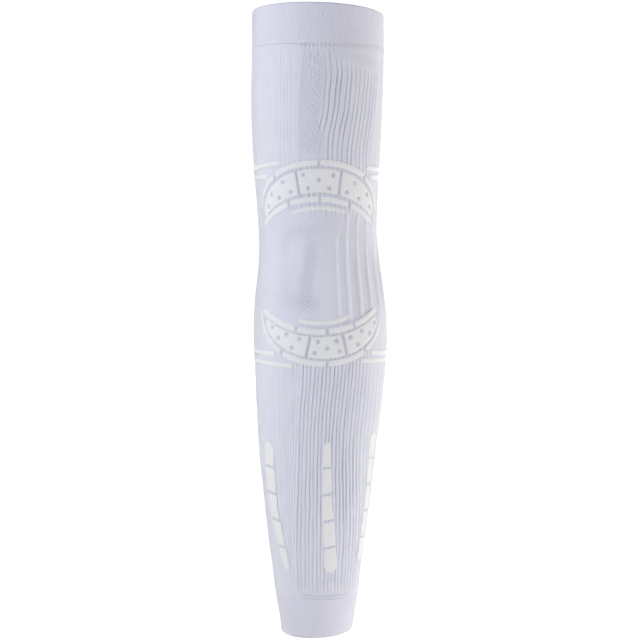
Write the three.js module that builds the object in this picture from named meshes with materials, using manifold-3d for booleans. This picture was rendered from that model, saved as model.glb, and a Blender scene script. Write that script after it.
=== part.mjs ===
// Padded arm sleeve: a ribbed knitted tube with a doubled cuff at each end and thin gel supports bonded
// round the elbow and along the forearm. Millimetres, +Z up towards the shoulder. The origin is the middle
// of the arm at the elbow, -Y faces the point of the elbow, and +X is the right-hand side seen from there.
import * as THREE from 'three';
import { mergeVertices } from 'three/addons/utils/BufferGeometryUtils.js';
import Module from 'manifold-3d';

const wasm = await Module();
wasm.setup();

// Sections of the arm: height along it, half width, half depth, and shift to the right
const SECTIONS = [
  { height: -244.0, halfWidth: 23.6, halfDepth: 25.0, shift: -2.1 },
  { height: -231.4, halfWidth: 25.4, halfDepth: 26.5, shift: -2.2 },
  { height: -217.9, halfWidth: 27.7, halfDepth: 28.3, shift: -2.2 },
  { height: -204.5, halfWidth: 29.2, halfDepth: 29.8, shift: -2.3 },
  { height: -177.4, halfWidth: 32.9, halfDepth: 32.6, shift: -2.1 },
  { height: -150.5, halfWidth: 36.0, halfDepth: 35.2, shift: -1.9 },
  { height: -123.6, halfWidth: 38.9, halfDepth: 37.6, shift: -1.7 },
  { height: -96.8, halfWidth: 41.4, halfDepth: 39.6, shift: -0.7 },
  { height: -70.0, halfWidth: 43.3, halfDepth: 41.0, shift: 0.1 },
  { height: -46.7, halfWidth: 44.5, halfDepth: 41.5, shift: 0.2 },
  { height: -23.3, halfWidth: 43.5, halfDepth: 41.0, shift: 0.0 },
  { height: 0.0, halfWidth: 40.7, halfDepth: 39.6, shift: -0.4 },
  { height: 23.3, halfWidth: 39.5, halfDepth: 39.6, shift: -1.5 },
  { height: 50.0, halfWidth: 40.7, halfDepth: 41.5, shift: -2.2 },
  { height: 76.7, halfWidth: 42.6, halfDepth: 43.5, shift: -2.3 },
  { height: 103.4, halfWidth: 43.7, halfDepth: 44.6, shift: -2.2 },
  { height: 126.7, halfWidth: 44.0, halfDepth: 45.0, shift: -1.7 },
  { height: 145.0, halfWidth: 43.9, halfDepth: 45.0, shift: -1.4 },
  { height: 167.5, halfWidth: 43.8, halfDepth: 45.0, shift: -1.6 },
];
const SECTION_COLUMNS = ['halfWidth', 'halfDepth', 'shift'];
const FOREARM_BEND = { start: -20, radius: 1160 }; // below the elbow the arm curves away to the back
const ELBOW_POINT = { angle: -6, height: -4, reach: 15, rise: 2.2 };

// Seams and rims of the two cuffs, and how far each rim rises or falls at its front and right
const UPPER_CUFF = { seam: 145, rim: 167.5, frontRise: 4.7, rightRise: -1.2 };
const WRIST_CUFF = { seam: -217.6, rim: -244, frontRise: 0, rightRise: 0.9 };
const CUFF_THICKNESS = 2.2;
const CUFF_POINTS = 44; // points round a cuff
const SEAM_GAP = 0.3; // between a cuff and the tube

// The knitted tube: ribs run along the arm in a panel from the front to past the right-hand side
const KNIT_THICKNESS = 1.7;
const RIB_STEP = 2; // degrees between crest and groove
const RIB_PANEL = { from: -18, to: 106 };
const PLAIN_STEP = 8; // degrees between points outside the panel
const ROW_STEP = 22; // longest step along the arm outside
const INNER_ROW_STEP = 30; // and inside
const RIB_FADE = 5; // length over which ribs die out at the end of a zone
// Rib zones down the arm; grooves holds the share of the depth at each step of the repeat
const RIB_ZONES = [
  { top: 137, bottom: 66, depth: 0.6, grooves: [1, 0, 1, 0, 0] },
  { top: 31, bottom: -31, depth: 0.4, grooves: [0.3, 0.8, 1, 1, 0.8, 0] },
  { top: -62, bottom: -212, depth: 0.6, grooves: [1, 0] },
];
const RIB_TWIST = { from: 70, to: 130, angle: 7 }; // ribs swing to the right up the upper arm
const RIB_SPREAD = { from: -100, to: -216, share: 0.46 }; // ribs spread at the front towards the wrist

// Gel supports: thin slabs a small gap above the knit
const GEL_GAP = 0.4;
const GEL_THICKNESS = 0.7;
const GEL_STEP = 8; // degrees between points along a support
const DEGREE = 0.72; // arc in mm of one degree round the elbow
const BAR_WIDTH = 3.5;
const THIN_BAR_WIDTH = 2.7;
const BAR_GAP = 2.0; // between the ends of two bars
const DOT_DIAMETER = 2.6;
const DOT_SIDES = 8;
const SAG_ANGLE = 60; // degrees from the middle at which a curve has dropped by its sag

// Two crescents that close towards the elbow. Apexes are distances from the elbow's middle; side +1 is
// above it. An outer curve is an ellipse with a reach in degrees and a rise, an inner one a parabola
// with a sag, each about its own centre.
// Ends hold the angles of a curve's two ends and of the splits between them.
const CRESCENTS = [
  {
    name: 'upper',
    side: 1,
    outerBars: { apex: 66.7, centre: 3.5, reach: 70.3, rise: 36, ends: [-65.8, -42, 2.2, 49.5, 72.8] },
    padOuter: { apex: 62.8, centre: 3.5, reach: 65.3, rise: 33.3, ends: [-60.5, -18.9, 23.1, 66.5] },
    padInner: { apex: 47.2, centre: 2.9, sag: 15.7, ends: [-58.5, -16.1, 21, 62] },
    innerBars: { apex: 42.8, centre: 2.2, sag: 14.5, ends: [-61.5, -27.2, 2.7, 32, 63] },
    arc: { apex: 37, centre: 3.5, sag: 17, ends: [-24, 27] },
  },
  {
    name: 'lower',
    side: -1,
    outerBars: { apex: 64, centre: 1.5, reach: 63.3, rise: 38, ends: [-61.4, -35.2, 5.9, 41.5, 61.7] },
    padOuter: { apex: 60.5, centre: 1.8, reach: 59.2, rise: 34, ends: [-54, -12.2, 23.2, 58] },
    padInner: { apex: 47.1, centre: -1.4, sag: 16.7, ends: [-52, -8.6, 19, 54] },
    innerBars: { apex: 43.5, centre: -1.5, sag: 16, ends: [-57, -21, 5.7, 30, 56] },
    arc: { apex: 38.1, centre: -0.5, sag: 24, ends: [-18.5, 27] },
  },
];

// Side bars beside the crescents: angle and height at each end, the outer end round the side of the arm
const SIDE_BARS = {
  upper: [
    { from: [-98, 62.4], to: [-35, 66.6] },
    { from: [-98, 58.2], to: [-51.5, 57.7] },
    { from: [52, 64.1], to: [98, 62.8] },
    { from: [60, 58.4], to: [98, 57.2] },
  ],
  lower: [
    { from: [-98, -56.4], to: [-42.5, -58.1] },
    { from: [-98, -62.4], to: [-25, -65.6] },
    { from: [39, -62.1], to: [98, -62.6] },
    { from: [49, -56.8], to: [98, -58.6] },
  ],
};

// Holes through the pads: angle and height of each
const DOTS = {
  upper_pad_left: [[-32.5, 53.9], [-24.6, 47.6], [-47, 46], [-37.2, 43.7], [-52.6, 38]],
  upper_pad_centre: [[-11.9, 58.6], [2.1, 55.4], [15.2, 58.6], [-7.8, 49.9], [11.4, 49.9]],
  upper_pad_right: [[37.2, 53.9], [28.8, 47.6], [54.4, 46.5], [42.6, 43.8], [58.6, 38.6]],
  lower_pad_left: [[-44.6, -40.9], [-29.7, -45.4], [-37.8, -47.7], [-17.7, -48.2], [-24.9, -54]],
  lower_pad_centre: [[-2, -49.9], [13.6, -49.4], [5.9, -54.1], [-5.2, -57.1], [16.5, -56]],
  lower_pad_right: [[26.2, -47], [37.5, -43], [33.6, -51.7], [46.3, -44.3], [53, -37.8]],
};

// Forearm strips: height of the top, and angle and width at the top, middle and bottom
const STRIPS = [
  { name: 'left', top: -115.4, angles: [-56, -56.6, -39.8], widths: [11.3, 10.4, 5.2] },
  { name: 'centre', top: -114.2, angles: [8.9, 10.5, 18.2], widths: [5, 6.9, 9] },
  { name: 'right', top: -110, angles: [65.5, 68.5, 66.5], widths: [8.5, 8, 7] },
];
const STRIP_SEGMENTS = 5;
const SEGMENT_LENGTH = 15.6;
const SEGMENT_GAP = 1.8;
const STRIP_END_TAPER = 0.62; // share of the width left at the strip's two ends

const knit = new THREE.MeshStandardMaterial({ color: '#d5d6e1', roughness: 0.9, metalness: 0 });
const gel = new THREE.MeshStandardMaterial({ color: '#e4e5e4', roughness: 0.5, metalness: 0 });

const sectionHeights = SECTIONS.map((section) => section.height);
const sectionValues = SECTIONS.flatMap((section) => SECTION_COLUMNS.map((column) => section[column]));
const sections = new THREE.CubicInterpolant(sectionHeights, sectionValues, SECTION_COLUMNS.length);
const { lerp, degToRad, radToDeg, smoothstep } = THREE.MathUtils;

// Point of the arm's surface at an angle round it and a height along it
function surfacePoint(angle, height) {
  const [halfWidth, halfDepth, shift] = sections.evaluate(height);
  const bend = Math.max(0, FOREARM_BEND.start - height);
  const tilt = Math.atan(bend / FOREARM_BEND.radius);
  const turn = degToRad(angle);
  const aside = 2 * halfWidth * Math.sin((turn - degToRad(ELBOW_POINT.angle)) / 2);
  const away = Math.hypot(aside, height - ELBOW_POINT.height) / ELBOW_POINT.reach;
  const elbow = ELBOW_POINT.rise * Math.exp(-away * away / 2);
  const depth = -(halfDepth + elbow) * Math.cos(turn);
  return new THREE.Vector3(
    shift + halfWidth * Math.sin(turn),
    bend * bend / (2 * FOREARM_BEND.radius) + depth * Math.cos(tilt),
    height + depth * Math.sin(tilt),
  );
}

// The same point lifted off the surface, or sunk into the wall by a negative lift
function skin(angle, height, lift) {
  const small = 0.1;
  const point = surfacePoint(angle, height);
  const across = surfacePoint(angle + small, height).sub(point);
  const along = surfacePoint(angle, height + small).sub(point);
  return point.addScaledVector(across.cross(along).normalize(), lift);
}

function closedGeometry(points, triangles) {
  const geometry = new THREE.BufferGeometry();
  geometry.setAttribute('position', new THREE.Float32BufferAttribute(points.flatMap((p) => p.toArray()), 3));
  geometry.setIndex(triangles.flat());
  return geometry;
}

// Tube wall from rings of points, each list from top to bottom; an inner ring has half an outer ring's points
function tubeWall(outerRings, innerRings) {
  const outerCount = outerRings[0].length;
  const innerCount = innerRings[0].length;
  const points = [...outerRings.flat(), ...innerRings.flat()];
  const outer = (ring, column) => ring * outerCount + column % outerCount;
  const inner = (ring, column) => outerRings.length * outerCount + ring * innerCount + column % innerCount;
  const triangles = [];
  const band = (at, ring, column, flip) => {
    const [a, b] = [at(ring, column), at(ring, column + 1)];
    const [c, d] = [at(ring + 1, column), at(ring + 1, column + 1)];
    triangles.push(...(flip ? [[a, d, c], [a, b, d]] : [[a, c, d], [a, d, b]]));
  };
  for (let ring = 0; ring < outerRings.length - 1; ring += 1) {
    for (let column = 0; column < outerCount; column += 1) band(outer, ring, column, false);
  }
  for (let ring = 0; ring < innerRings.length - 1; ring += 1) {
    for (let column = 0; column < innerCount; column += 1) band(inner, ring, column, true);
  }
  for (const end of ['top', 'bottom']) {
    const outerRing = end === 'top' ? 0 : outerRings.length - 1;
    const innerRing = end === 'top' ? 0 : innerRings.length - 1;
    for (let column = 0; column < innerCount; column += 1) {
      const [a, b, c] = [0, 1, 2].map((step) => outer(outerRing, 2 * column + step));
      const [d, e] = [inner(innerRing, column), inner(innerRing, column + 1)];
      const rim = [[a, b, d], [b, e, d], [b, c, e]];
      triangles.push(...(end === 'top' ? rim : rim.map(([p, q, r]) => [p, r, q])));
    }
  }
  return closedGeometry(points, triangles);
}

// Angles of the tube's points, fine in the ribbed panel and coarse round the rest
function tubeAngles() {
  const ribSteps = Math.round((RIB_PANEL.to - RIB_PANEL.from) / RIB_STEP);
  const plainSpan = 360 - (RIB_PANEL.to - RIB_PANEL.from);
  const plainSteps = 2 * Math.round(plainSpan / PLAIN_STEP / 2);
  const ribbed = Array.from({ length: ribSteps }, (_, i) => RIB_PANEL.from + i * RIB_STEP);
  const plain = Array.from({ length: plainSteps }, (_, i) => RIB_PANEL.to + i * plainSpan / plainSteps);
  return [...ribbed, ...plain];
}

// Heights of the tube's rings: each zone's ends and fades, and even steps between them
function tubeHeights(top, bottom) {
  const marks = [top, ...RIB_ZONES.flatMap((zone) => [
    zone.top, zone.top - RIB_FADE, zone.bottom + RIB_FADE, zone.bottom,
  ]), bottom];
  const heights = [top];
  for (let i = 1; i < marks.length; i += 1) {
    const steps = Math.ceil((marks[i - 1] - marks[i]) / ROW_STEP);
    for (let step = 1; step <= steps; step += 1) heights.push(lerp(marks[i - 1], marks[i], step / steps));
  }
  return heights;
}

// Where a line of stitches lies round the arm at a height
function stitchAngle(column, height) {
  const twist = RIB_TWIST.angle * smoothstep(height, RIB_TWIST.from, RIB_TWIST.to);
  const narrowing = (height - RIB_SPREAD.from) / (RIB_SPREAD.to - RIB_SPREAD.from);
  const spread = RIB_SPREAD.share * smoothstep(narrowing, 0, 1);
  return column + twist + radToDeg(spread * Math.sin(degToRad(column)));
}

function grooveDepth(column, height) {
  const inPanel = column > RIB_PANEL.from && column < RIB_PANEL.to;
  const zone = RIB_ZONES.find(({ top, bottom }) => height < top && height > bottom);
  if (!inPanel || !zone) return 0;
  const step = Math.round((column - RIB_PANEL.from) / RIB_STEP);
  const fade = Math.min(1, (zone.top - height) / RIB_FADE, (height - zone.bottom) / RIB_FADE);
  return zone.depth * zone.grooves[step % zone.grooves.length] * fade;
}

function armTube() {
  const top = UPPER_CUFF.seam - SEAM_GAP / 2;
  const bottom = WRIST_CUFF.seam + SEAM_GAP / 2;
  const angles = tubeAngles();
  const innerAngles = angles.filter((_, i) => i % 2 === 0);
  const innerRows = Math.round((top - bottom) / INNER_ROW_STEP);
  const outerRings = tubeHeights(top, bottom).map((height) => angles.map((column) => (
    skin(stitchAngle(column, height), height, -grooveDepth(column, height))
  )));
  const innerRings = Array.from({ length: innerRows + 1 }, (_, row) => {
    const height = lerp(top, bottom, row / innerRows);
    return innerAngles.map((column) => skin(stitchAngle(column, height), height, -KNIT_THICKNESS));
  });
  return tubeWall(outerRings, innerRings);
}

// A cuff from its seam to its rim; the profile gives share of the way to the rim and depth below the surface
function cuff({ seam, rim, frontRise, rightRise }) {
  const outward = Math.sign(rim - seam);
  const start = seam + outward * SEAM_GAP / 2;
  const outerProfile = [[0, 0], [0.3, 0], [0.65, 0], [0.94, 0], [0.985, 0.35], [1, 0.9]];
  const innerProfile = [[0, CUFF_THICKNESS], [0.5, CUFF_THICKNESS], [0.96, CUFF_THICKNESS], [1, 1.5]];
  const ring = (count) => ([share, depth]) => Array.from({ length: count }, (_, i) => {
    const angle = i * 360 / count;
    const turn = degToRad(angle);
    const edge = rim + frontRise * Math.cos(turn) + rightRise * Math.sin(turn);
    return skin(angle, lerp(start, edge, share), -depth);
  });
  const outerRings = outerProfile.map(ring(CUFF_POINTS));
  const innerRings = innerProfile.map(ring(CUFF_POINTS / 2));
  if (outward > 0) return tubeWall(outerRings.reverse(), innerRings.reverse());
  return tubeWall(outerRings, innerRings);
}

// Slab that follows the arm; its grid of angles and heights has rows from left to right, each going up
function slab(grid) {
  const columns = grid[0].length;
  const cells = grid.flat();
  const lifts = [GEL_GAP, GEL_GAP + GEL_THICKNESS];
  const points = lifts.flatMap((lift) => cells.map(([angle, height]) => skin(angle, height, lift)));
  const low = (row, column) => row * columns + column;
  const high = (row, column) => cells.length + low(row, column);
  const triangles = [];
  const quad = (a, b, c, d) => triangles.push([a, b, c], [a, c, d]);
  const lastRow = grid.length - 1;
  const lastColumn = columns - 1;
  for (let r = 0; r < lastRow; r += 1) {
    for (let c = 0; c < lastColumn; c += 1) {
      quad(high(r, c), high(r + 1, c), high(r + 1, c + 1), high(r, c + 1));
      quad(low(r, c), low(r, c + 1), low(r + 1, c + 1), low(r + 1, c));
    }
    quad(low(r, 0), low(r + 1, 0), high(r + 1, 0), high(r, 0));
    quad(low(r + 1, lastColumn), low(r, lastColumn), high(r, lastColumn), high(r + 1, lastColumn));
  }
  for (let c = 0; c < lastColumn; c += 1) {
    quad(low(0, c + 1), low(0, c), high(0, c), high(0, c + 1));
    quad(low(lastRow, c), low(lastRow, c + 1), high(lastRow, c + 1), high(lastRow, c));
  }
  return closedGeometry(points, triangles);
}

function toManifold(geometry) {
  return new wasm.Manifold(new wasm.Mesh({
    numProp: 3,
    vertProperties: new Float32Array(geometry.attributes.position.array),
    triVerts: new Uint32Array(geometry.index.array),
  }));
}

function fromManifold(solid) {
  const { vertProperties, triVerts } = solid.getMesh();
  const geometry = new THREE.BufferGeometry();
  geometry.setAttribute('position', new THREE.BufferAttribute(vertProperties, 3));
  geometry.setIndex(new THREE.BufferAttribute(triVerts, 1));
  return geometry;
}

// Round pin square to the arm's surface, longer than the gel is thick
function dotPin([angle, height]) {
  const length = 4 * GEL_THICKNESS;
  const middle = GEL_GAP + GEL_THICKNESS / 2;
  const foot = skin(angle, height, middle - length / 2);
  const head = skin(angle, height, middle + length / 2);
  const outward = head.clone().sub(foot).normalize();
  const cylinder = new THREE.CylinderGeometry(DOT_DIAMETER / 2, DOT_DIAMETER / 2, length, DOT_SIDES);
  cylinder.deleteAttribute('normal');
  cylinder.deleteAttribute('uv');
  const pin = mergeVertices(cylinder);
  pin.applyQuaternion(new THREE.Quaternion().setFromUnitVectors(new THREE.Vector3(0, 1, 0), outward));
  return pin.translate(...foot.lerp(head, 0.5).toArray());
}

function drilled(geometry, dots) {
  const solid = dots.reduce((body, dot) => body.subtract(toManifold(dotPin(dot))), toManifold(geometry));
  return fromManifold(solid);
}

// Height of a crescent's curve at an angle
function curveHeight({ side }, curve, angle) {
  const turn = angle - curve.centre;
  const share = Math.min(1, Math.abs(turn / curve.reach));
  const drop = curve.reach
    ? curve.rise * (1 - Math.sqrt(1 - share * share))
    : curve.sag * (turn / SAG_ANGLE) ** 2;
  return side * (curve.apex - drop);
}

// Points of a crescent's curve between two angles, closer together where an ellipse turns down
function curvePoints(crescent, curve, from, to, steps) {
  const { centre, reach } = curve;
  const toShare = (angle) => (reach ? Math.asin((angle - centre) / reach) : angle);
  const toAngle = (share) => (reach ? centre + reach * Math.sin(share) : share);
  return Array.from({ length: steps + 1 }, (_, i) => {
    const angle = toAngle(lerp(toShare(from), toShare(to), i / steps));
    return [angle, curveHeight(crescent, curve, angle)];
  });
}

// Bar of a given width along a line of angles and heights that runs from left to right
function ribbon(line, width) {
  const grid = line.map(([angle, height], i) => {
    const before = line[Math.max(0, i - 1)];
    const after = line[Math.min(line.length - 1, i + 1)];
    const run = new THREE.Vector2((after[0] - before[0]) * DEGREE, after[1] - before[1]).normalize();
    return [-0.5, 0.5].map((share) => [
      angle - share * width * run.y / DEGREE,
      height + share * width * run.x,
    ]);
  });
  return slab(grid);
}

function steps(from, to) {
  return Math.max(2, Math.ceil(Math.abs(to - from) / GEL_STEP));
}

const sleeve = new THREE.Group();

function addPiece(name, geometry, material) {
  const mesh = new THREE.Mesh(geometry, material);
  mesh.name = name;
  sleeve.add(mesh);
}

// Row of bars along one curve, split at the inner angles of its ends
function addBars(crescent, part, widths) {
  const curve = crescent[part];
  const { ends } = curve;
  const halfGap = BAR_GAP / 2 / DEGREE;
  const label = { outerBars: 'outer', innerBars: 'inner', arc: 'arc' }[part];
  for (let i = 0; i < ends.length - 1; i += 1) {
    const from = ends[i] + (i > 0 ? halfGap : 0);
    const to = ends[i + 1] - (i < ends.length - 2 ? halfGap : 0);
    const line = curvePoints(crescent, curve, from, to, steps(from, to));
    const name = ends.length > 2 ? `${crescent.name}_${label}_${i + 1}` : `${crescent.name}_${label}`;
    addPiece(name, ribbon(line, widths[i]), gel);
  }
}

// Three pads between the outer and inner pad curves, drilled with their dots
function addPads(crescent) {
  const { padOuter, padInner } = crescent;
  const halfGap = BAR_GAP / 2 / DEGREE;
  const shares = [0, 0.5, 1];
  ['left', 'centre', 'right'].forEach((place, i) => {
    const span = ({ ends }) => [ends[i] + (i > 0 ? halfGap : 0), ends[i + 1] - (i < 2 ? halfGap : 0)];
    const count = steps(...span(padOuter));
    const outerLine = curvePoints(crescent, padOuter, ...span(padOuter), count);
    const innerLine = curvePoints(crescent, padInner, ...span(padInner), count);
    const [lowLine, highLine] = crescent.side > 0 ? [innerLine, outerLine] : [outerLine, innerLine];
    const grid = lowLine.map(([angle, height], row) => shares.map((share) => [
      lerp(angle, highLine[row][0], share),
      lerp(height, highLine[row][1], share),
    ]));
    const name = `${crescent.name}_pad_${place}`;
    addPiece(name, drilled(slab(grid), DOTS[name]), gel);
  });
}

function addSideBars({ name }) {
  SIDE_BARS[name].forEach(({ from, to }, i) => {
    const count = steps(from[0], to[0]);
    const line = Array.from({ length: count + 1 }, (_, step) => [
      lerp(from[0], to[0], step / count),
      lerp(from[1], to[1], step / count),
    ]);
    addPiece(`${name}_side_${i + 1}`, ribbon(line, THIN_BAR_WIDTH), gel);
  });
}

// Value at a share of the way through three values given for the top, middle and bottom
function throughThree([top, middle, bottom], share) {
  return share < 0.5 ? lerp(top, middle, share * 2) : lerp(middle, bottom, share * 2 - 1);
}

function addStrip({ name, top, angles, widths }) {
  const pitch = SEGMENT_LENGTH + SEGMENT_GAP;
  const length = STRIP_SEGMENTS * pitch - SEGMENT_GAP;
  const rowShares = [0, 0.25, 0.75, 1]; // down a segment
  for (let segment = 0; segment < STRIP_SEGMENTS; segment += 1) {
    const rows = rowShares.map((share) => {
      const down = segment * pitch + share * SEGMENT_LENGTH;
      const height = top - down;
      const atEnd = down === 0 || down > length - 0.01;
      const [halfWidth] = sections.evaluate(height);
      const width = throughThree(widths, down / length) * (atEnd ? STRIP_END_TAPER : 1);
      const half = radToDeg(width / 2 / halfWidth);
      const middle = throughThree(angles, down / length);
      return { height, middle, half };
    }).reverse();
    const grid = [-1, 0, 1].map((edge) => rows.map(({ height, middle, half }) => (
      [middle + edge * half, height]
    )));
    addPiece(`strip_${name}_${segment + 1}`, slab(grid), gel);
  }
}

addPiece('upper_cuff', cuff(UPPER_CUFF), knit);
addPiece('arm_tube', armTube(), knit);
addPiece('wrist_cuff', cuff(WRIST_CUFF), knit);
for (const crescent of CRESCENTS) {
  addBars(crescent, 'outerBars', [THIN_BAR_WIDTH, BAR_WIDTH, BAR_WIDTH, THIN_BAR_WIDTH]);
  addPads(crescent);
  addBars(crescent, 'innerBars', [BAR_WIDTH, BAR_WIDTH, BAR_WIDTH, BAR_WIDTH]);
  addBars(crescent, 'arc', [THIN_BAR_WIDTH]);
  addSideBars(crescent);
}
STRIPS.forEach(addStrip);

export default sleeve;
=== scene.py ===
"""Padded arm sleeve: a ribbed knitted tube, two doubled cuffs and the gel supports bonded on them.

Lengths are in millimetres and angles in degrees until a mesh is made, which is in metres. The arm runs
along Z. Angle 0 is the front, where the point of the elbow is, and positive angles go to the right seen
from there. A column is a line of stitches, named by its angle before the knit swings round the arm. Two
numbers for columns or heights are where a ramp starts and is full, and four are a window: where it
starts, is full, fades and ends.
"""

import math

import bpy
import numpy as np
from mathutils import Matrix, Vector
from mathutils.geometry import delaunay_2d_cdt


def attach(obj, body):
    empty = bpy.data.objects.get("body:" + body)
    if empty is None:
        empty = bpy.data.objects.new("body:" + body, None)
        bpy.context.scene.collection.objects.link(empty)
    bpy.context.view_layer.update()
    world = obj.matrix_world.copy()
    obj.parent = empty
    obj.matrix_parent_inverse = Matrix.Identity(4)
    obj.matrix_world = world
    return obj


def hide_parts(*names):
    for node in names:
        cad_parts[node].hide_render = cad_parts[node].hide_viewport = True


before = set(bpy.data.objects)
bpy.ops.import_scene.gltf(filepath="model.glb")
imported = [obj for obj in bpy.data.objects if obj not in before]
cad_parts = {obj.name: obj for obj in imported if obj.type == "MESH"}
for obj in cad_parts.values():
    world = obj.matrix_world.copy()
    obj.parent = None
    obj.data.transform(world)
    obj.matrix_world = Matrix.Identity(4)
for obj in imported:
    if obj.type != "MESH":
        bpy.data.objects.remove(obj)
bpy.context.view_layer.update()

MM = 0.001

# Sections of the arm: height along it, half width, half depth, and shift to the right
SECTIONS = np.array([
    (-244, 23.6, 25, -2.1),
    (-231.4, 25.4, 26.5, -2.2),
    (-217.9, 27.7, 28.3, -2.2),
    (-204.5, 29.2, 29.8, -2.3),
    (-177.4, 32.9, 32.6, -2.1),
    (-150.5, 36, 35.2, -1.9),
    (-123.6, 38.9, 37.6, -1.7),
    (-96.8, 41.4, 39.6, -0.7),
    (-70, 43.3, 41, 0.1),
    (-46.7, 44.5, 41.5, 0.2),
    (-23.3, 43.5, 41, 0),
    (0, 40.7, 39.6, -0.4),
    (23.3, 39.5, 39.6, -1.5),
    (50, 40.7, 41.5, -2.2),
    (76.7, 42.6, 43.5, -2.3),
    (103.4, 43.7, 44.6, -2.2),
    (126.7, 44, 45, -1.7),
    (145, 43.9, 45, -1.4),
    (167.5, 43.8, 45, -1.6),
])
BEND_START = -20  # below this height the forearm curves away to the back
BEND_RADIUS = 1160
ELBOW_ANGLE = -6
ELBOW_HEIGHT = -4
ELBOW_REACH = 15
ELBOW_RISE = 2.2
DEGREE = 0.72  # arc of one degree round the elbow

# Cuffs: seam, rim, and the rise of the rim at its front and at its right
CUFFS = {
    "upper_cuff": {"seam": 145, "rim": 167.5, "front_rise": 4.7, "right_rise": -1.2},
    "wrist_cuff": {"seam": -217.6, "rim": -244, "front_rise": 0, "right_rise": 0.9},
}
CUFF_THICKNESS = 2.2
CUFF_COLUMNS = 600
CUFF_ROWS = 26
CUFF_INNER_ROWS = 5
ROLL_ROWS = 8  # round the rim
CUFF_EASE = 4  # length from the seam over which the surface starts to wave
CUFF_WAVES = ((0.12, 3, 0.1), (0.08, 7, -0.2))  # rise, and turns round the arm and in radians per mm
TWILL_WAVES = ((0.5, 9, 0.35), (0.35, 31, -0.8))
TWILL_PATCHES = ((17, 0.5, 0), (23, -0.7, 1.3))  # turns round the arm and per mm, and phase
TWILL_PATCHINESS = 0.45
TWILL_PITCH = 2.3  # of the faint slanted lines on the cuffs
TWILL_LEAN = 0.45
TWILL_DEPTH = {"upper_cuff": 0.1, "wrist_cuff": 0.04}
# painted shade in the twill's low lines and painted light on its raised ones
TWILL_PAINTED_SHADING = 5

# Knitted tube: zones of columns round it, as first and last angle and step, and the steps along it
COLUMN_ZONES = ((-180, -110, 0.9), (-110, -22, 0.55), (-22, 108, 0.34), (108, 180, 0.9))
KNIT_THICKNESS = 1.7
ROW_STEP = 5
TOP_EDGE = np.array([0, 0.35, 0.7, 1.05, 1.5, 2.1, 3])  # rows below the upper seam
BOTTOM_EDGE = np.array([0, 0.35, 0.7, 1.1, 1.5, 1.9, 2.3, 2.7, 3.2, 4])  # and above the wrist seam
INNER_ROWS = 8

# Seams: the gap between two knits, and how deep they turn in at angles round the arm
SEAM_GAP = 0.03
SEAM_PROFILE = ((0, 1), (0.25, 0.5), (0.7, 0.13), (1.4, 0))
SEAM_DEPTHS = {
    "upper_cuff": ((-180, 0.16), (-60, 0.2), (-25, 0.22), (10, 0.14), (45, 0.05), (180, 0.05)),
    "wrist_cuff": ((-180, 0.04), (-40, 0.04), (-15, 0.24), (35, 0.24), (60, 0.06), (180, 0.04)),
}

# Lines beside the seams: rise, distance from the seam and width
SEAM_LINES = {
    "bulge": (0.4, 4, 2.4),
    "eyelets": (-0.6, 1.1, 0.9),
    "wrist_ridge": (0.3, 1.2, 0.45),
    "wrist_groove": (-0.6, 2.3, 0.45),
}
EYELET_PITCH = 3.4
DASH_SHARE = 0.3  # of the ridge, which comes and goes
WRIST_LINE_LOSS = 0.8  # to the right

# Swing of the right-hand ribs round the arm, as height and angle, and the lean of the forearm's first ribs
SWING = np.array([
    (-45, 0), (5, 0), (20, 1.6), (34, 3.4), (50, 2), (70, -0.4), (80, 0),
    (88, 1.5), (96, 3.7), (104, 5.3), (112, 6), (124, 7.3), (135, 6.1), (145, 5),
])
FOREARM_LEAN = 2.4
SPREAD_SHARE = 0.46  # by which the ribs spread at the front towards the wrist
FRONT_LIMIT = 70  # up to this column the forearm's ribs are even as seen from the front
FRONT_SLOPE = 0.34  # and beyond it they are even round the arm

# Zones of the knit: windows of columns and of heights. Fine ribs have columns from 0 to 360.
NO_START = (-999, -998)
NO_END = (998, 999)
EVERYWHERE = (*NO_START, *NO_END)
ZONES = {
    "swing": ((-20, 2, 110, 175), EVERYWHERE),
    "lean": ((-60, -25, 10, 60), (-105, -65, -55, -38)),
    "eyelets": ((-18, -14, 15, 50), EVERYWHERE),
    "elbow": ((11, 17, 103, 107), (-42, -36, *NO_END)),
    "elbow_cap": ((-8, 0, 24, 36), (-38, -26, 12, 28)),
    "forearm": ((-19.5, -17.8, 103, 107), (-215, -211, -44, -36)),
    "fine_upper": ((58, 64, 339, 342), (56, 66, 141, 146)),
    "fine_elbow": ((106, 110, 286, 298), (-66, -56, 56, 66)),
    "fine_forearm": ((106, 110, 339, 342), (-213, -204, -66, -56)),
}

# Grooves: pitches, places and widths are angles
UPPER_PITCH = 9.4
UPPER_GROOVES = ((0.6, 0.86), (4.6, 0.86), (7.3, 0.14))  # place in the repeat and share of the depth
UPPER_DEPTH = 0.8
UPPER_GROOVE_WIDTH = 0.7
FOREARM_PITCH = 3.35
FOREARM_FIRST = -17
FOREARM_DEPTH = 0.66
FOREARM_GROOVE_WIDTH = 0.6
GROOVE_SWAY = 0.34
GROOVE_SCATTER = 0.5  # by which neighbouring grooves are unevenly spaced
GROOVE_WAVES = ((0.6, 2.4, 0.083), (0.4, 5.3, 0.21))  # share, and turn per groove and per mm
GROOVE_STRENGTH = 0.85  # share of the depth, and what scatter adds to it and wander changes
STRENGTH_SCATTER = 0.3
STRENGTH_WANDER = 0.25
LIP_PLACE = 2  # the crests beside a groove, in groove widths
LIP_RISE = 0.14  # and their rise and the painted light on them, as shares of a groove's depth and painted shade
LIP_PAINTED_LIGHT = 0.4

# Zone of the upper ribs, whose tops come lower to the right and whose first pair breaks off
UPPER_TOP = 139.5
UPPER_SLANT = 0.24  # mm per degree
UPPER_LEFT = -3
UPPER_LEFT_RAMP = 2.5
UPPER_WIDENING = 14  # under the gel the ribs reach this much further to the left

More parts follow.
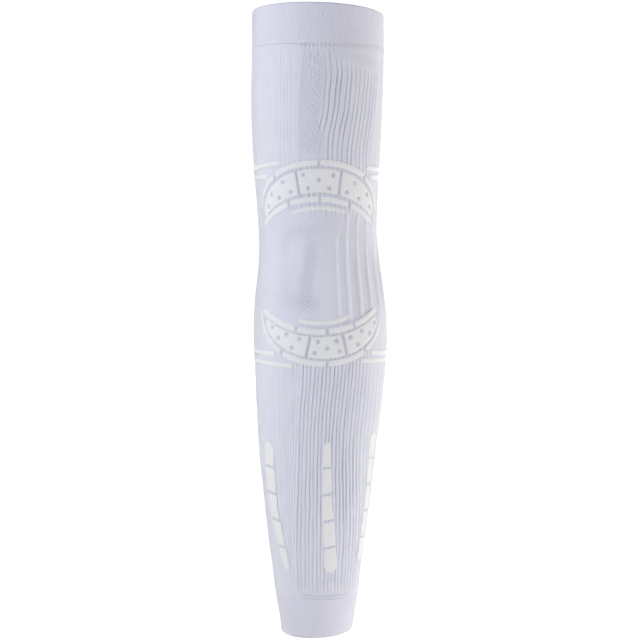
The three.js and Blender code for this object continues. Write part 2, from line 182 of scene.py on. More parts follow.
# Changes to the depth of the forearm's ribs: share, then windows of columns and heights
FOREARM_CHANGES = (
    (-0.16, (*NO_START, -8, 6), EVERYWHERE),
    (-0.3, EVERYWHERE, (*NO_START, -190, -140)),
    (-0.7, (40, 52, *NO_END), (-80, -66, *NO_END)),
    (-0.6, (40, 56, *NO_END), (-150, -110, *NO_END)),
)
LOW_RIGHT_GAIN = 0.7  # they are deeper low at the right, and then shallower
LOW_RIGHT_LOSS = 1.6

# Wide ribs over the elbow, with narrow crests and a deeper line left of each
ELBOW_CRESTS = np.array([17.2, 27.4, 39.6, 52.2, 65.4, 80, 95, 110])
ELBOW_CREST_WIDTH = 1.8
ELBOW_DEPTH = 0.75
ELBOW_LINE = 0.4
ELBOW_LINE_PLACE = -3
ELBOW_LINE_WIDTH = 1.1
ELBOW_SHADE_LEVEL = 0.85  # share of the depth at which the knit has no painted shade: deeper is painted darker, shallower paler
ELBOW_TOP = 22  # at the left, and its step up to the right
ELBOW_TOP_STEP = 16

# Fold beside the elbow's point, with sides as angles from the fold, and painted light on the knit over the
# point
FOLD_ANGLE = -7
FOLD_LEAN = 6
FOLD_LEFT = (-14, -1.5)
FOLD_RIGHT = (-2, 6)
SHADE_LEFT = (-16, -7)  # left side of the fold's painted shade
CREASE_DEPTH = 0.6
# painted shade in the fold, and painted light over the elbow's point
CREASE_PAINTED_SHADE = 0.48
CAP_PAINTED_LIGHT = 0.25

# Fine ribs, outside the front columns of each zone
FINE_UPPER_PITCH = 3.44
FINE_FOREARM_PITCH = 2.7
FINE_UPPER_DEPTH = 0.22
FINE_FOREARM_DEPTH = 0.36
FINE_CREST = 0.27  # width of a crest as a share of the pitch
FINE_WANDER = 0.35
# level of the fine ribs at which the knit has no painted shade: hollows are painted darker, crests paler
FINE_SHADE_LEVEL = 0.65

# One raised rib that starts at the upper seam
LONE_RIB_ANGLE = -16.3
LONE_RIB_WIDTH = 0.8
LONE_RIB_RISE = 0.22
LONE_RIB_LEAN = 2.2  # by which it runs to the right near the seam

# Patches of the tube with finer rows: angles, heights and the rows into which each row is cut
FINE_PATCHES = (
    ((-47, 6), (31, -35), 9),
    ((-17, 8.5), (141, 71), 6),
    ((9.9, 62), (142, 118), 4),
    ((-62, 64), (70, 30), 2),
    ((7.4, 64), (0, -31), 3),
    ((-62, 60), (-30, -46), 3),
    ((-62, 60), (-45, -69), 2),
)

# Open work: a band of pits round the left of the elbow's point
BAND_CENTRE = (2, -1.2)
BAND_REACH = (26, 24.3)
BAND_ROUNDNESS = 5
BAND_WIDTH = 0.1275  # as a share of the reach, and in the band's lower part
BAND_LOW_WIDTH = 0.2025
BAND_MIDDLE_SHARE = 0.5
PIT_PITCH = 2.3
PIT_SLOPE = 0.6
PIT_DEPTH = 0.5
RISING_SHARE = 0.44  # of the two sets of lines that cross, and in the band's lower part
RISING_LOW_SHARE = 0.7

# Then a panel of streaks beside the upper ribs and above them
PANEL_RIGHT = -1
PANEL_WIDENING = 7
ABOVE_RIBS_SHARE = 0.7
STREAK_PITCH = 1.8
STREAK_LEAN = 0.5
STREAK_ORIGIN = 112
STREAK_UPRIGHT = 118  # above this height they don't lean
STREAK_WAVES = ((0.3, 0.8, 0.45), (0.2, -1.7, 0.9))  # share, and turn per degree and per mm
STREAK_BREAK = 3.1
STREAK_BREAK_LEAN = 0.9
STREAK_BREAK_SHARE = 0.6
STREAK_SHARE = 0.75
STREAK_MEAN = 0.33
STREAK_PALE_SHARE = 0.4  # of their contrast at the left

# Gel supports
GEL_FOOT = 0.05  # lift of a support's underside off the knit
GEL_TOP = 0.36
GEL_EDGE = 0.8  # over which its edge slopes
GEL_WALL = 0.12  # share of the thickness that stands upright at the edge
GEL_GROW = 0.15  # by which the sloping edge runs out
GEL_DIP = 0.25  # share of the grooves' depth that shows through
GAP_PAINTED_SHADE = 0.38  # painted shade on the knit in the gaps between the supports
PAD_PAINTED_SHADE = 0.4  # more painted shade round the pads and in their holes
SPLIT_PAINTED_SHADE = 0.7  # and most where two bars or two pads meet
# painted shade at a strip's edges and between its segments
STRIP_PAINTED_SHADE = 0.55
BAR_COVER = 0.6  # share of the ribs' painted shade that is lost among the bars, and under a strip
STRIP_COVER = 0.5
SPLIT_LENGTH = (2.8, 1.6)  # reach of a split's painted shade along it, and across it as an angle
SPLIT_WIDTH = (2.6, 1.4)
ARC_RAMP = 2
STRIP_EDGE = (0.3, -1)
STRIP_END_SHADE = 6  # length at a strip's ends without its painted shade
HELD_FLAT = 0.45  # share of a groove's depth that is lost where the gel holds the knit
GEL_POINT_STEP = 1.5
GEL_EDGE_ROWS = (0.3, 1)  # rows of points along an edge, as shares of its slope
GEL_ROW_TOLERANCE = 0.06
GEL_CLEARANCE = 1.8  # between an edge and the other points, in the same shares
GEL_SHARP = 55
CURVE_POINTS = 40
SIDE_BAR_POINTS = 30
OUTLINE_STEP = 0.4
BAR_WIDTH = 3.5
THIN_BAR_WIDTH = 2.7
BAR_GAP = 2
BAR_CORNER = 1.3
PAD_CORNER = 1.8
DOT_RADIUS = 1.35
DOT_POINTS = 20
SAG_ANGLE = 60

# Two crescents that close towards the elbow, with apexes as distances from the elbow's middle. An outer
# curve is an ellipse with a reach in degrees and a rise, an inner one a parabola with a sag, each about its
# own centre. Ends are the angles of a curve's two ends and of the splits between them.
CRESCENTS = {
    "upper": {
        "side": 1,
        "outer": {
            "apex": 66.7, "centre": 3.5, "reach": 70.3, "rise": 36,
            "ends": (-65.8, -42, 2.2, 49.5, 72.8),
        },
        "pad_outer": {
            "apex": 62.8, "centre": 3.5, "reach": 65.3, "rise": 33.3,
            "ends": (-60.5, -18.9, 23.1, 66.5),
        },
        "pad_inner": {"apex": 47.2, "centre": 2.9, "sag": 15.7, "ends": (-58.5, -16.1, 21, 62)},
        "inner": {"apex": 42.8, "centre": 2.2, "sag": 14.5, "ends": (-61.5, -27.2, 2.7, 32, 63)},
        "arc": {"apex": 37, "centre": 3.5, "sag": 17, "ends": (-24, 27)},
    },
    "lower": {
        "side": -1,
        "outer": {
            "apex": 64, "centre": 1.5, "reach": 63.3, "rise": 38,
            "ends": (-61.4, -35.2, 5.9, 41.5, 61.7),
        },
        "pad_outer": {
            "apex": 60.5, "centre": 1.8, "reach": 59.2, "rise": 34,
            "ends": (-54, -12.2, 23.2, 58),
        },
        "pad_inner": {"apex": 47.1, "centre": -1.4, "sag": 16.7, "ends": (-52, -8.6, 19, 54)},
        "inner": {"apex": 43.5, "centre": -1.5, "sag": 16, "ends": (-57, -21, 5.7, 30, 56)},
        "arc": {"apex": 38.1, "centre": -0.5, "sag": 24, "ends": (-18.5, 27)},
    },
}

# Side bars: angle and height of the outer end, then of the inner end
SIDE_BARS = {
    "upper": (
        ((-98, 62.4), (-35, 66.6)),
        ((-98, 58.2), (-51.5, 57.7)),
        ((52, 64.1), (98, 62.8)),
        ((60, 58.4), (98, 57.2)),
    ),
    "lower": (
        ((-98, -56.4), (-42.5, -58.1)),
        ((-98, -62.4), (-25, -65.6)),
        ((39, -62.1), (98, -62.6)),
        ((49, -56.8), (98, -58.6)),
    ),
}

# Holes through the pads: angle and height of each
DOTS = {
    "upper_pad_left": ((-32.5, 53.9), (-24.6, 47.6), (-47, 46), (-37.2, 43.7), (-52.6, 38)),
    "upper_pad_centre": ((-11.9, 58.6), (2.1, 55.4), (15.2, 58.6), (-7.8, 49.9), (11.4, 49.9)),
    "upper_pad_right": ((37.2, 53.9), (28.8, 47.6), (54.4, 46.5), (42.6, 43.8), (58.6, 38.6)),
    "lower_pad_left": ((-44.6, -40.9), (-29.7, -45.4), (-37.8, -47.7), (-17.7, -48.2), (-24.9, -54)),
    "lower_pad_centre": ((-2, -49.9), (13.6, -49.4), (5.9, -54.1), (-5.2, -57.1), (16.5, -56)),
    "lower_pad_right": ((26.2, -47), (37.5, -43), (33.6, -51.7), (46.3, -44.3), (53, -37.8)),
}

# Forearm strips: height of the top, angle and width at the top, middle and bottom, and slope of the gaps
STRIPS = {
    "left": {"top": -115.4, "angles": (-56, -56.6, -39.8), "widths": (11.3, 10.4, 5.2), "slant": -0.08},
    "centre": {"top": -114.2, "angles": (8.9, 10.5, 18.2), "widths": (5, 6.9, 9), "slant": 0.13},
    "right": {"top": -110, "angles": (65.5, 68.5, 66.5), "widths": (8.5, 8, 7), "slant": 0},
}
STRIP_SEGMENTS = 5
SEGMENT_LENGTH = 15.6
SEGMENT_GAP = 1.8
STRIP_LENGTH = STRIP_SEGMENTS * (SEGMENT_LENGTH + SEGMENT_GAP) - SEGMENT_GAP
STRIP_END_LENGTH = 3.5  # over which a strip's first and last segments round off
STRIP_END_SHARE = 0.3  # of the width at the very end

# Knits: colour, darker colour for the random yarn tone and the painted shade, and wales and courses of
# stitches per centimetre
KNITS = {
    "rib_knit": ((0.78, 0.79, 0.89), (0.55, 0.56, 0.67), 13.9, 20),
    "cuff_knit": ((0.775, 0.775, 0.89), (0.545, 0.545, 0.67), 13.9, 22),
}
# Shares of each tone towards the darker colour: broad and melange are random yarn tone; the two attributes
# paint shade in grooves, seams, gaps, creases and pits, and light on crests; stitch paints light on the
# stitches' legs and shade between them
KNIT_TONES = {"broad": 0.23, "melange": 0.55, "painted_shading": 0.48, "pits_painted_dark": 0.6, "stitch": -0.12}
STITCH_SLANT = 1.3
STITCH_LEGS = 0.35
STITCH_TROUGH = 0.6
GEL_COLOURS = ((0.795, 0.805, 0.83, 1), (0.71, 0.72, 0.76, 1))
PAPER_COLOURS = ((0.93, 0.93, 0.93, 1), (0.9, 0.9, 0.91, 1))

# Camera and stage, in metres
CAMERA_DISTANCE = 2.8
CAMERA_HEIGHT = -0.03667
PIXEL = 0.002 / 3  # of the picture at the arm's axis
PICTURE = 640
SENSOR = 36
FLOOR_HEIGHT = -1.3
STAGE_RADIUS = 6
STAGE_HOLE = 0.01
STAGE_SWEEP = 0.8
SWEEP_POINTS = 13
STAGE_TOP = 4
STAGE_SIDES = 64

# Studio lights round the arm: azimuth from the front to the right, elevation, power and colour
SOFTBOX_SIZE = 1.2
SOFTBOX_DISTANCE = 2.4
SOFTBOXES = {
    "left_softbox": (-90, 5, 36.5, (1, 0.97, 0.88)),
    "upper_left_softbox": (-60, 40, 31, (0.82, 0.88, 1)),
    "front_softbox": (0, -25, 29.5, (1, 1, 1)),
    "right_softbox": (65, -25, 35, (1, 0.97, 0.92)),
    "rim_softbox": (118, 0, 30, (1, 0.99, 0.93)),
    "far_rim_softbox": (148, 5, 40, (1, 1, 0.96)),
    "back_softbox": (-160, 10, 16, (1, 1, 1)),
}
WORLD_STRENGTH = 0.02
WORLD_COLOUR = (0.97, 0.98, 1, 1)


def smooth(x, start, end):
    """0 before start, 1 after end, and a soft ramp between them"""
    share = np.clip((x - start) / (end - start), 0, 1)
    return share * share * (3 - 2 * share)


def window(x, start, full, fade, end):
    """0 before start and after end, 1 from full to fade, and a soft ramp on each side"""
    return smooth(x, start, full) * smooth(x, end, fade)


def zone(name, column, height):
    """Share of a zone at columns and heights"""
    columns, heights = ZONES[name]
    return window(column, *columns) * window(height, *heights)


def bump(x, middle, width):
    """1 at the middle, and falling away softly over the width"""
    return np.exp(-(((x - middle) / width) ** 2))


def waves(table, across, height):
    """Sum of sine waves, each with its share, its turn across the knit and its turn along the arm"""
    return sum(share * np.sin(turn * across + rise * height) for share, turn, rise in table)


def hermite(table, x):
    """Curves through a table's columns, whose knots are its first and whose slopes at a knot are means"""
    knots, values = table[:, 0], table[:, 1:]
    slopes = np.diff(values, axis=0) / np.diff(knots)[:, None]
    tangents = np.vstack([slopes[:1], (slopes[:-1] + slopes[1:]) / 2, slopes[-1:]])
    x = np.clip(x, knots[0], knots[-1])
    i = np.clip(np.searchsorted(knots, x, side="right") - 1, 0, len(knots) - 2)
    span = (knots[i + 1] - knots[i])[..., None]
    p = (x - knots[i])[..., None] / span
    ends = values[i] * (1 + 2 * p) * (1 - p) ** 2 + values[i + 1] * p * p * (3 - 2 * p)
    return ends + span * p * (1 - p) * (tangents[i] * (1 - p) - tangents[i + 1] * p)


def surface(angle, height):
    """Points of the arm's surface at angles round it and heights along it"""
    angle, height = np.broadcast_arrays(np.asarray(angle, float), np.asarray(height, float))
    half_width, half_depth, shift = np.moveaxis(hermite(SECTIONS, height), -1, 0)
    bend = np.maximum(0, BEND_START - height)
    tilt = np.arctan(bend / BEND_RADIUS)
    turn = np.radians(angle)
    aside = 2 * half_width * np.sin((turn - math.radians(ELBOW_ANGLE)) / 2)
    away = (aside**2 + (height - ELBOW_HEIGHT) ** 2) / ELBOW_REACH**2
    depth = -(half_depth + ELBOW_RISE * np.exp(-away / 2)) * np.cos(turn)
    return np.stack([
        shift + half_width * np.sin(turn),
        bend**2 / (2 * BEND_RADIUS) + depth * np.cos(tilt),
        height + depth * np.sin(tilt),
    ], axis=-1)


def skin(angle, height, lift):
    """The same points lifted off the surface, or sunk into it by a negative lift"""
    small = 0.1
    point = surface(angle, height)
    normal = np.cross(surface(angle + small, height) - point, surface(angle, height + small) - point)
    normal /= np.linalg.norm(normal, axis=-1, keepdims=True)
    return point + normal * np.asarray(lift, float)[..., None]


def stitch_angle(column, height):
    """Where a column of stitches lies round the arm at a height"""
    swing = hermite(SWING, height)[..., 0] * zone("swing", column, height)
    lean = FOREARM_LEAN * zone("lean", column, height)
    spread = SPREAD_SHARE * smooth(height, -100, -216)
    return column + swing + lean + np.degrees(spread * np.sin(np.radians(column)))


def stitch_column(angle, height):
    """The column of stitches that lies at an angle"""
    column = np.array(angle, float)
    for _ in range(6):
        column = column + angle - stitch_angle(column, height)
    return column


def front_column(column):
    """Columns as they are seen from the front, and evenly spaced beyond a limit"""
    front = np.degrees(np.sin(np.radians(np.minimum(column, FRONT_LIMIT))))
    return front + FRONT_SLOPE * np.maximum(column - FRONT_LIMIT, 0)


def grooves(column, height, first, pitch, width, lip):
    """Grooves, about 1 at the bottom of each, with crests beside them; each sways along the arm"""
    number = np.round((column - first) / pitch)
    scatter = np.modf(np.abs(np.sin(number * 12.9898 + first) * 437.58))[0]
    sway = GROOVE_SWAY * waves(GROOVE_WAVES, number, height) + GROOVE_SCATTER * (scatter - 0.5)
    offset = (column - first - number * pitch - sway) / width
    wander = waves(GROOVE_WAVES, number + 0.5, height)
    strength = GROOVE_STRENGTH + STRENGTH_SCATTER * scatter + STRENGTH_WANDER * wander
    return strength * (bump(offset, 0, 1) - lip * bump(np.abs(offset), LIP_PLACE, 1))


def fine_ribs(column, height, pitch):
    """Narrow crests with a wider hollow between them: 0 on a crest, 1 in a hollow"""
    number = np.round(column / pitch)
    strength = GROOVE_STRENGTH + FINE_WANDER * waves(GROOVE_WAVES, number, height)
    return strength * (1 - bump(column, number * pitch, FINE_CREST * pitch))


def elbow_ribs(column):
    """Hollows between narrow crests over the elbow, deepest just left of each crest"""
    halfway = (ELBOW_CRESTS[1:] + ELBOW_CRESTS[:-1]) / 2
    offset = column - ELBOW_CRESTS[np.searchsorted(halfway, column)]
    line = ELBOW_LINE * bump(offset, ELBOW_LINE_PLACE, ELBOW_LINE_WIDTH)
    return 1 - bump(offset, 0, ELBOW_CREST_WIDTH) + line


def elbow_crease(column, height, left_side):
    """A fold beside the point of the elbow, with a long left side and a short right side"""
    fold = FOLD_ANGLE + FOLD_LEAN * smooth(height, -15, 12)
    return window(column - fold, *left_side, *FOLD_RIGHT) * window(height, -34, -18, 8, 24)


def upper_top(column):
    """Height at which the upper ribs start"""
    return UPPER_TOP - UPPER_SLANT * np.clip(column, 0, 50)


def rib_zones(column, height):
    """Share of each kind of rib: over the upper arm, the elbow and the forearm, and fine ones elsewhere"""
    first_pair = np.maximum(smooth(column, 7, 9), 1 - window(height, 66, 72, 82, 94))
    left = UPPER_LEFT - UPPER_WIDENING * smooth(height, 74, 68)
    upper = window(column, left, left + UPPER_LEFT_RAMP, 52, 62) * first_pair
    upper = upper * smooth(upper_top(column) - height, 0, 2.2) * smooth(height, 30, 38)
    elbow_top = ELBOW_TOP + ELBOW_TOP_STEP * smooth(column, 19, 25)
    elbow = zone("elbow", column, height) * smooth(elbow_top - height, 0, 10)
    angle = stitch_angle(column, height)
    for crescent in CRESCENTS.values():
        inner = crescent["inner"]
        reach = np.clip(angle, inner["ends"][0], inner["ends"][-1])
        below_bars = inner["apex"] - curve_drop(inner, reach) - crescent["side"] * height
        elbow = elbow * smooth(below_bars, 1.5, 4.5)
    forearm = zone("forearm", column, height)
    for share, columns, heights in FOREARM_CHANGES:
        forearm = forearm * (1 + share * window(column, *columns) * window(height, *heights))
    low_right = smooth(column, 14, 26) * (1 - LOW_RIGHT_LOSS * smooth(column, 36, 50))
    forearm = forearm * (1 + LOW_RIGHT_GAIN * low_right * smooth(height, -100, -140))
    turn = column % 360
    return {
        "upper": upper,
        "elbow": elbow,
        "forearm": forearm,
        "fine_upper": np.maximum(zone("fine_upper", turn, height), zone("fine_elbow", turn, height)),
        "fine_forearm": zone("fine_forearm", turn, height),
    }


def elbow_relief(column, height):
    """Depth of the wide ribs over the elbow"""
    return ELBOW_DEPTH * rib_zones(column, height)["elbow"] * elbow_ribs(column)


def rib_relief(column, height, lip, fine_level):
    """Depth of the narrower ribs, with a share of crests beside the grooves and a level for the fine ribs"""
    zones = rib_zones(column, height)
    angle = stitch_angle(column, height)
    held = np.maximum(crescent_shares(angle, height)[0], strip_share(angle, height))
    upper = sum(
        share * grooves(column, height, first, UPPER_PITCH, UPPER_GROOVE_WIDTH, lip)
        for first, share in UPPER_GROOVES
    )
    across = front_column(column)
    forearm = grooves(across, height, FOREARM_FIRST, FOREARM_PITCH, FOREARM_GROOVE_WIDTH, lip)
    fine_upper = fine_ribs(column, height, FINE_UPPER_PITCH) - fine_level
    fine_forearm = fine_ribs(column, height, FINE_FOREARM_PITCH) - fine_level
    wide = UPPER_DEPTH * zones["upper"] * upper + FOREARM_DEPTH * zones["forearm"] * forearm
    return (
        wide * (1 - HELD_FLAT * held)
        + FINE_UPPER_DEPTH * zones["fine_upper"] * fine_upper
        + FINE_FOREARM_DEPTH * zones["fine_forearm"] * fine_forearm
    )


def broad_depth(column, height):
    """Depth of the wide ribs and the fold of the elbow"""
    return elbow_relief(column, height) + CREASE_DEPTH * elbow_crease(column, height, FOLD_LEFT)


def rib_painted_shading(column, height):
    """Painted shading of the knit: painted shade in the grooves, in the elbow's fold and among the gel
    supports, painted light on the crests and over the elbow's point
    """
    angle = stitch_angle(column, height)
    bars, pads, splits = crescent_shares(angle, height)
    strips = strip_share(angle, height)
    elbow = elbow_relief(column, height)
    elbow = elbow - ELBOW_SHADE_LEVEL * ELBOW_DEPTH * rib_zones(column, height)["elbow"]
    # painted shade in the elbow's fold and painted light over the elbow's point
    crease = CREASE_PAINTED_SHADE * elbow_crease(column, height, SHADE_LEFT)
    cap_light = CAP_PAINTED_LIGHT * zone("elbow_cap", column, height)
    # painted shade in the grooves and hollows, painted light on the crests
    rib_shade = (rib_relief(column, height, LIP_PAINTED_LIGHT, FINE_SHADE_LEVEL) + elbow) / UPPER_DEPTH
    rib_shade = rib_shade * (1 - BAR_COVER * bars) * (1 - STRIP_COVER * strips)
    # painted shade among the bars, round the pads, in the splits and along the strips
    gap_shade = GAP_PAINTED_SHADE * bars + PAD_PAINTED_SHADE * pads + SPLIT_PAINTED_SHADE * splits + STRIP_PAINTED_SHADE * strips
    return rib_shade + crease - cap_light + gap_shade


def lone_rib(column, height):
    """One raised rib that starts at the upper seam"""
    middle = LONE_RIB_ANGLE + LONE_RIB_LEAN * smooth(height, 108, 138)
    return LONE_RIB_RISE * bump(column, middle, LONE_RIB_WIDTH) * smooth(height, 70, 112)


def curve_drop(curve, angle):
    """How far a crescent's curve has come down from its apex at an angle"""
    turn = angle - curve["centre"]
    if "reach" in curve:
        share = np.clip(turn / curve["reach"], -1, 1)
        return curve["rise"] * (1 - np.sqrt(1 - share * share))
    return curve["sag"] * (turn / SAG_ANGLE) ** 2


def between(crescent, far_name, near_name, angle, height):
    """1 between two curves of a crescent, 0 outside them"""
    far, near = crescent[far_name], crescent[near_name]
    up = crescent["side"] * height
    above_near = smooth(up - near["apex"] + curve_drop(near, angle), -1, 1)
    below_far = smooth(far["apex"] - curve_drop(far, angle) - up, -1, 1)
    return above_near * below_far * (np.abs(angle - far["centre"]) < far.get("reach", SAG_ANGLE))


def strip_course(strip, height):
    """Middle of a forearm strip at a height, and half of its width, as angles"""
    share = (strip["top"] - height) / STRIP_LENGTH
    width = np.interp(share, (0, 0.5, 1), strip["widths"])
    half_width = hermite(SECTIONS, height)[..., 0]
    return np.interp(share, (0, 0.5, 1), strip["angles"]), np.degrees(width / 2 / half_width)


def strip_share(angle, height):
    """Where the knit lies under a forearm strip, and shows between the strip's segments"""
    share = np.zeros(np.shape(angle))
    for strip in STRIPS.values():
        middle, half = strip_course(strip, height)
        from_end = STRIP_LENGTH / 2 - np.abs(height - strip["top"] + STRIP_LENGTH / 2)
        under = smooth(np.abs(angle - middle) - half, *STRIP_EDGE) * (from_end > STRIP_END_SHADE)
        share = np.maximum(share, under)
    return share


def split_share(crescent, angle, height):
    """Where the knit lies in the gaps between a crescent's neighbouring bars or pads, which get the most
    painted shade
    """
    up = crescent["side"] * height
    share = np.zeros(np.shape(angle))
    for bars in (crescent["outer"], crescent["inner"]):
        on_bars = smooth(np.abs(up - bars["apex"] + curve_drop(bars, angle)), *SPLIT_LENGTH)
        for split in bars["ends"][1:-1]:
            share = np.maximum(share, on_bars * smooth(np.abs(angle - split), *SPLIT_WIDTH))
    far, near = crescent["pad_outer"], crescent["pad_inner"]
    along = (up - near["apex"]) / (far["apex"] - near["apex"])
    on_pads = between(crescent, "pad_outer", "pad_inner", angle, height)
    for far_split, near_split in zip(far["ends"][1:-1], near["ends"][1:-1]):
        split = near_split + (far_split - near_split) * along
        share = np.maximum(share, on_pads * smooth(np.abs(angle - split), *SPLIT_WIDTH))
    return share


def crescent_shares(angle, height):
    """Where the knit lies among a crescent's bars, where among its pads, and where in a split of either"""
    bars, pads, splits = np.zeros((3, *np.shape(angle)))
    for crescent in CRESCENTS.values():
        arc_start, arc_end = crescent["arc"]["ends"]
        by_arc = window(angle, arc_start - ARC_RAMP, arc_start, arc_end, arc_end + ARC_RAMP)
        by_arc = by_arc * between(crescent, "inner", "arc", angle, height)
        within = between(crescent, "outer", "inner", angle, height)
        bars = np.maximum(bars, np.maximum(within, by_arc))
        pads = np.maximum(pads, between(crescent, "pad_outer", "pad_inner", angle, height))
        splits = np.maximum(splits, split_share(crescent, angle, height))
    return bars, pads, splits


def band_pits(column, height):
    """Pits where two sets of slanted lines cross, in a band round the left of the elbow's point"""
    across = column * DEGREE
    aside = (across - BAND_CENTRE[0]) / BAND_REACH[0]
    up = (height - BAND_CENTRE[1]) / BAND_REACH[1]
    reach = (np.abs(aside) ** BAND_ROUNDNESS + np.abs(up) ** BAND_ROUNDNESS) ** (1 / BAND_ROUNDNESS)
    low = smooth(up, 0.3, -0.6)
    width = BAND_WIDTH + (BAND_LOW_WIDTH - BAND_WIDTH) * low
    band = bump(reach, 1, width) * smooth(across, 3, -3)
    band = band * (BAND_MIDDLE_SHARE + (1 - BAND_MIDDLE_SHARE) * smooth(np.abs(up), 0.15, 0.55))
    rising = np.cos(2 * math.pi * (height - PIT_SLOPE * across) / PIT_PITCH)
    falling = np.cos(2 * math.pi * (height + PIT_SLOPE * across) / PIT_PITCH)
    share = RISING_SHARE + (RISING_LOW_SHARE - RISING_SHARE) * low
    return band * smooth(rising * share + falling * (1 - share), -0.1, 0.9)


def panel_streaks(column, height):
    """Short streaks that lean to the right going down, in a panel beside the upper ribs"""
    right = PANEL_RIGHT + PANEL_WIDENING * smooth(height, 97, 84)
    panel = window(column, -16.5, -14, right - 1.5, right + 1)
    above_ribs = window(column, 0, 4, 48, 62) * smooth(height - upper_top(column), -2, 1)
    panel = np.maximum(panel * smooth(height, 70, 78), ABOVE_RIBS_SHARE * above_ribs)
    across = column * DEGREE
    lean = STREAK_LEAN * (np.minimum(height, STREAK_UPRIGHT) - STREAK_ORIGIN)
    lean = lean + waves(STREAK_WAVES, column, height)
    streak = np.cos(2 * math.pi * (across + lean) / STREAK_PITCH)
    breaks = np.cos(2 * math.pi * (height - STREAK_BREAK_LEAN * across) / STREAK_BREAK)
    streak = smooth(streak + STREAK_BREAK_SHARE * breaks, -0.4, 1.2)
    contrast = STREAK_PALE_SHARE + (1 - STREAK_PALE_SHARE) * smooth(column, -14, -6)
    streak = STREAK_MEAN + contrast * (streak - STREAK_MEAN)
    return STREAK_SHARE * panel * smooth(height, 143, 140) * streak


def seam_depth(node, angle):
    """How deep the knits turn in at a cuff's seam"""
    return np.interp(angle, *np.transpose(SEAM_DEPTHS[node]))


def seam_lift(angle, height, top, bottom):
    """Rise and fall of the knit beside its two seams"""
    below = top - height
    above = height - bottom
    repeat = np.cos(2 * math.pi * angle / EYELET_PITCH)
    wrist_line = smooth(angle, -28, -15) * (1 - WRIST_LINE_LOSS * smooth(angle, 40, 60))
    strengths = {
        "bulge": 1,
        "eyelets": smooth(repeat, -0.2, 0.8) * zone("eyelets", angle, height),
        "wrist_ridge": wrist_line * (1 - DASH_SHARE + DASH_SHARE * repeat),
        "wrist_groove": wrist_line,
    }
    lift = 0
    for node, away in (("upper_cuff", below), ("wrist_cuff", above)):
        lift = lift - seam_depth(node, angle) * np.interp(away, *np.transpose(SEAM_PROFILE))
    for name, (rise, place, width) in SEAM_LINES.items():
        away = above if name.startswith("wrist") else below
        lift = lift + rise * strengths[name] * bump(away, place, width)
    return lift


def new_mesh(name, points, faces, material):
    """A smooth mesh from points in metres"""
    mesh = bpy.data.meshes.new(name)
    mesh.from_pydata(points.tolist(), [], faces)
    mesh.update()
    mesh.materials.append(material)
    mesh.polygons.foreach_set("use_smooth", np.ones(len(mesh.polygons), bool))
    return mesh


def linked(name, data):
    """A new object in the scene"""
    made = bpy.data.objects.new(name, data)
    bpy.context.scene.collection.objects.link(made)
    return made


def add_piece(mesh, node):
    """Links a mesh as a piece that stands for a solid of the frame"""
    piece = linked(mesh.name, mesh)
    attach(piece, "root")
    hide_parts(node)
    return piece


def refined_faces(ring_count, column_count, patches):
    """Faces of a closed wall of rings, where each patch's rows are cut into finer ones"""
    def corner(ring, column):
        return (ring % ring_count) * column_count + column % column_count

    ring, column = np.meshgrid(np.arange(ring_count), np.arange(column_count), indexing="ij")
    corners = [(ring, column), (ring + 1, column), (ring + 1, column + 1), (ring, column + 1)]
    quads = np.stack([corner(*place) for place in corners], axis=-1)
    plain = np.ones((ring_count, column_count), bool)
    faces = []
    first = ring_count * column_count
    for rows, columns, cuts in patches:
        left, right = columns[0] - 1, columns[-1] + 1
        plain[rows[0]:rows[-1], left:right] = False
        for row in rows[:-1]:
            lines = [corner(row, columns)]
            for _ in range(cuts - 1):
                lines.append(first + np.arange(len(columns)))
                first += len(columns)
            lines.append(corner(row + 1, columns))
            for upper, lower in zip(lines, lines[1:]):
                faces += np.stack([upper[:-1], lower[:-1], lower[1:], upper[1:]], axis=-1).tolist()
            left_edge = [int(line[0]) for line in reversed(lines)]
            right_edge = [int(line[-1]) for line in lines]
            faces.append([corner(row, left), corner(row + 1, left), *left_edge])
            faces.append([*right_edge, corner(row + 1, right), corner(row, right)])
    return quads[plain].tolist() + faces


def set_knit_uv(mesh, column, height):
    """UV map in centimetres of knit, from each point's column and height"""
    corner = np.empty(len(mesh.loops), np.int32)
    start = np.empty(len(mesh.polygons), np.int32)
    total = np.empty(len(mesh.polygons), np.int32)
    mesh.loops.foreach_get("vertex_index", corner)
    mesh.polygons.foreach_get("loop_start", start)
    mesh.polygons.foreach_get("loop_total", total)
    across = column[corner]
    furthest = np.repeat(np.maximum.reduceat(across, start), total)
    across = np.where(furthest - across > 180, across + 360, across)
    uv = np.stack([across * DEGREE, height[corner]], axis=1) / 10
    layer = mesh.uv_layers.new(name="knit")
    layer.data.foreach_set("uv", uv.reshape(-1).astype(np.float32))


def set_attribute(mesh, name, values):
    attribute = mesh.attributes.new(name, "FLOAT", "POINT")
    attribute.data.foreach_set("value", np.ascontiguousarray(values, np.float32).reshape(-1))


def tube_grid(top, bottom):
    """Columns round the tube, its outer rows from the top down, and the rows and columns of each patch"""
    columns = np.concatenate([np.arange(start, end, step) for start, end, step in COLUMN_ZONES])
    high, low = top - TOP_EDGE[-1], bottom + BOTTOM_EDGE[-1]
    middle = np.linspace(high, low, round((high - low) / ROW_STEP))
    rows = np.concatenate([top - TOP_EDGE[:-1], middle, bottom + BOTTOM_EDGE[-2::-1]])
    patches = []
    for (left, right), (upper, lower), cuts in FINE_PATCHES:
        in_rows = np.flatnonzero((rows <= upper) & (rows >= lower))
        in_columns = np.flatnonzero((columns >= left) & (columns <= right))
        patches.append((in_rows, in_columns, cuts))
    return columns, rows, patches


